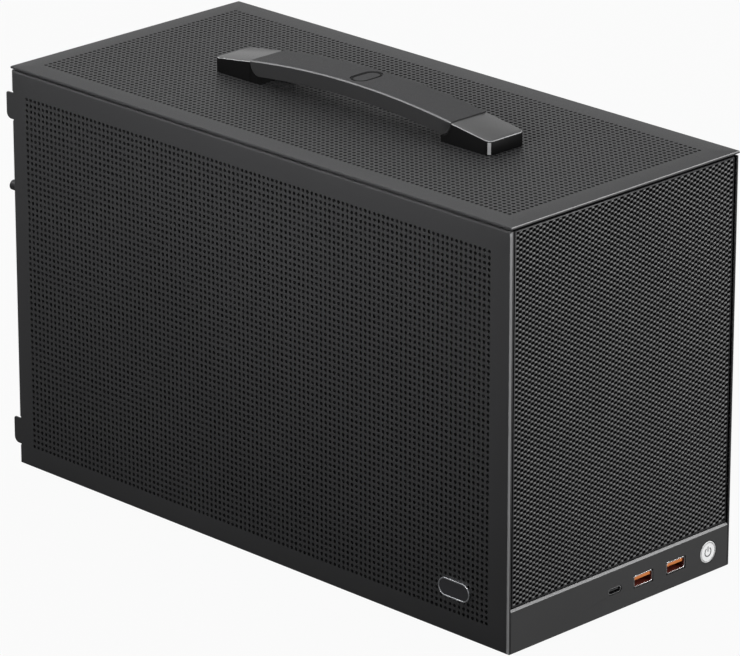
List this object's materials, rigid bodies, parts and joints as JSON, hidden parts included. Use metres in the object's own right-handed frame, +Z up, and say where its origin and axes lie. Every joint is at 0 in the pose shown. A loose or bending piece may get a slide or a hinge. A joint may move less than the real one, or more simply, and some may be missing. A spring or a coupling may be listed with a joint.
{
  "type": "computer case",
  "caption": "Small upright two-chamber computer case with perforated steel panels, a full-height mesh front over a port strip, pull-off sides and an arched carry handle.",
  "frame": {"origin": "on the floor under the middle of the case, tabs and thumbscrews included", "axes": "+X to the right seen from the front, -Y out of the mesh front, +Z up"},
  "size_m": [0.1562, 0.3456, 0.2286],
  "materials": {
    "panel_steel": "satin black powder coat, perforated",
    "mesh_steel": "satin black painted fine mesh",
    "frame_steel": "satin black painted sheet",
    "strip_metal": "fine matte charcoal",
    "zinc_screw": "bright zinc",
    "black_screw": "black oxide",
    "brass_standoff": "turned",
    "clip_plastic": "natural nylon",
    "black_plastic": "fine texture",
    "cap_plastic": "satin gloss black",
    "button_white": "white, semi-gloss",
    "orange_plastic": "orange",
    "port_shell": "nickel plated",
    "board_green": "dark green board",
    "badge_metal": "bright rim, dark satin field",
    "grip_rubber": "matte dark grey",
    "foot_rubber": "matte black"
  },
  "bodies": {
    "chassis": {"bottom_panel": "frame_steel", "rear_panel": "frame_steel", "front_frame": "frame_steel", "top_rail_left": "frame_steel", "top_rail_right": "frame_steel", "front_crossbar": "frame_steel", "rear_crossbar": "frame_steel", "centre_wall": "frame_steel", "standoffs": "brass_standoff", "lid": "panel_steel", "left_clips": "clip_plastic", "right_clips": "clip_plastic", "front_clips": "clip_plastic", "front_strip": "strip_metal", "button_ring": "black_plastic", "switch_body": "black_plastic", "io_board": "board_green", "io_board_screws": "zinc_screw", "usb_a_port_1": "port_shell", "usb_a_port_2": "port_shell", "usb_a_tongues": "orange_plastic", "usb_c_port": "port_shell", "usb_c_tongue": "black_plastic", "handle_grip": "grip_rubber", "handle_strap": "frame_steel", "handle_cap_front": "cap_plastic", "handle_cap_rear": "cap_plastic", "handle_inlay": "grip_rubber", "handle_screws": "zinc_screw", "slot_frame": "frame_steel", "slot_cover_1": "frame_steel", "slot_cover_2": "frame_steel", "slot_cover_3": "frame_steel", "slot_screws": "zinc_screw", "power_inlet": "black_plastic", "power_inlet_pins": "zinc_screw", "power_inlet_screws": "zinc_screw", "psu_bracket": "frame_steel", "riser_bracket": "frame_steel", "foot_front_left": "foot_rubber", "foot_front_right": "foot_rubber", "foot_rear_left": "foot_rubber", "foot_rear_right": "foot_rubber", "bottom_filter": "black_plastic", "thumbscrews": "black_screw", "frame_rivets": "zinc_screw"},
    "left_panel": {"left_panel": "panel_steel", "left_ball_studs": "zinc_screw", "side_badge": "badge_metal"},
    "right_panel": {"right_panel": "panel_steel", "right_ball_studs": "zinc_screw"},
    "front_panel": {"front_mesh": "mesh_steel", "front_mesh_frame": "black_plastic", "front_studs": "zinc_screw"},
    "power_button": {"power_button": "button_white", "switch_plunger": "clip_plastic"}
  },
  "joints": [
    {"name": "left_panel_pull", "type": "slide", "parent": "chassis", "child": "left_panel", "axis": [-1, 0, 0], "range_m": [0, 0.06]},
    {"name": "right_panel_pull", "type": "slide", "parent": "chassis", "child": "right_panel", "axis": [1, 0, 0], "range_m": [0, 0.06]},
    {"name": "front_panel_pull", "type": "slide", "parent": "chassis", "child": "front_panel", "axis": [0, -1, 0], "range_m": [0, 0.05]},
    {"name": "power_button_press", "type": "slide", "parent": "chassis", "child": "power_button", "axis": [0, 1, 0], "range_m": [0, 0.0008], "stiffness_N_per_m": 1500, "springref_m": -0.0006}
  ]
}
